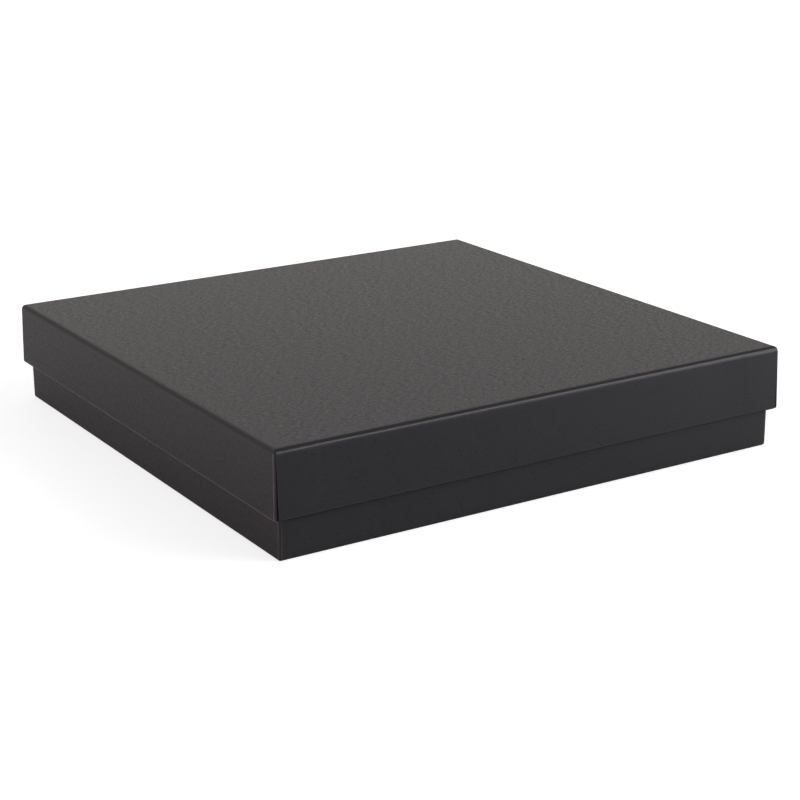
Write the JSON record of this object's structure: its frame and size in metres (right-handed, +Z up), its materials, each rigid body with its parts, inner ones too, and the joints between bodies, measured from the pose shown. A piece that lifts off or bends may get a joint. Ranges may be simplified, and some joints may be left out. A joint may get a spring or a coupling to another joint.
{
  "type": "gift box",
  "caption": "Low square black gift box with a lift-off lid: scored greyboard trays with corner stays, paper wrap turned in over the rims, and lining sheets.",
  "frame": {"origin": "centre of the base's underside, on the surface the box stands on", "axes": "+Z up, the way the lid lifts; X and Y along the sides, with the two panels whose paper ends at the upright corners facing -Y and +Y"},
  "size_m": [0.2, 0.2, 0.0365],
  "materials": {
    "wrap_paper": "uncoated black paper with a soft low sheen and a fine fibre grain",
    "lining_paper": "matte black paper",
    "greyboard": "raw recycled greyboard with flecks",
    "kraft_stay": "brown kraft paper"
  },
  "bodies": {
    "base": {"base_board": "greyboard", "base_corner_stay_front_left": "kraft_stay", "base_corner_stay_front_right": "kraft_stay", "base_corner_stay_rear_left": "kraft_stay", "base_corner_stay_rear_right": "kraft_stay", "base_wrap": "wrap_paper", "base_lining": "lining_paper"},
    "lid": {"lid_board": "greyboard", "lid_corner_stay_front_left": "kraft_stay", "lid_corner_stay_front_right": "kraft_stay", "lid_corner_stay_rear_left": "kraft_stay", "lid_corner_stay_rear_right": "kraft_stay", "lid_wrap": "wrap_paper", "lid_lining": "lining_paper"}
  },
  "joints": [
    {"name": "lid_lift", "type": "slide", "parent": "base", "child": "lid", "axis": [0, 0, 1], "range_m": [0, 0.08]}
  ]
}
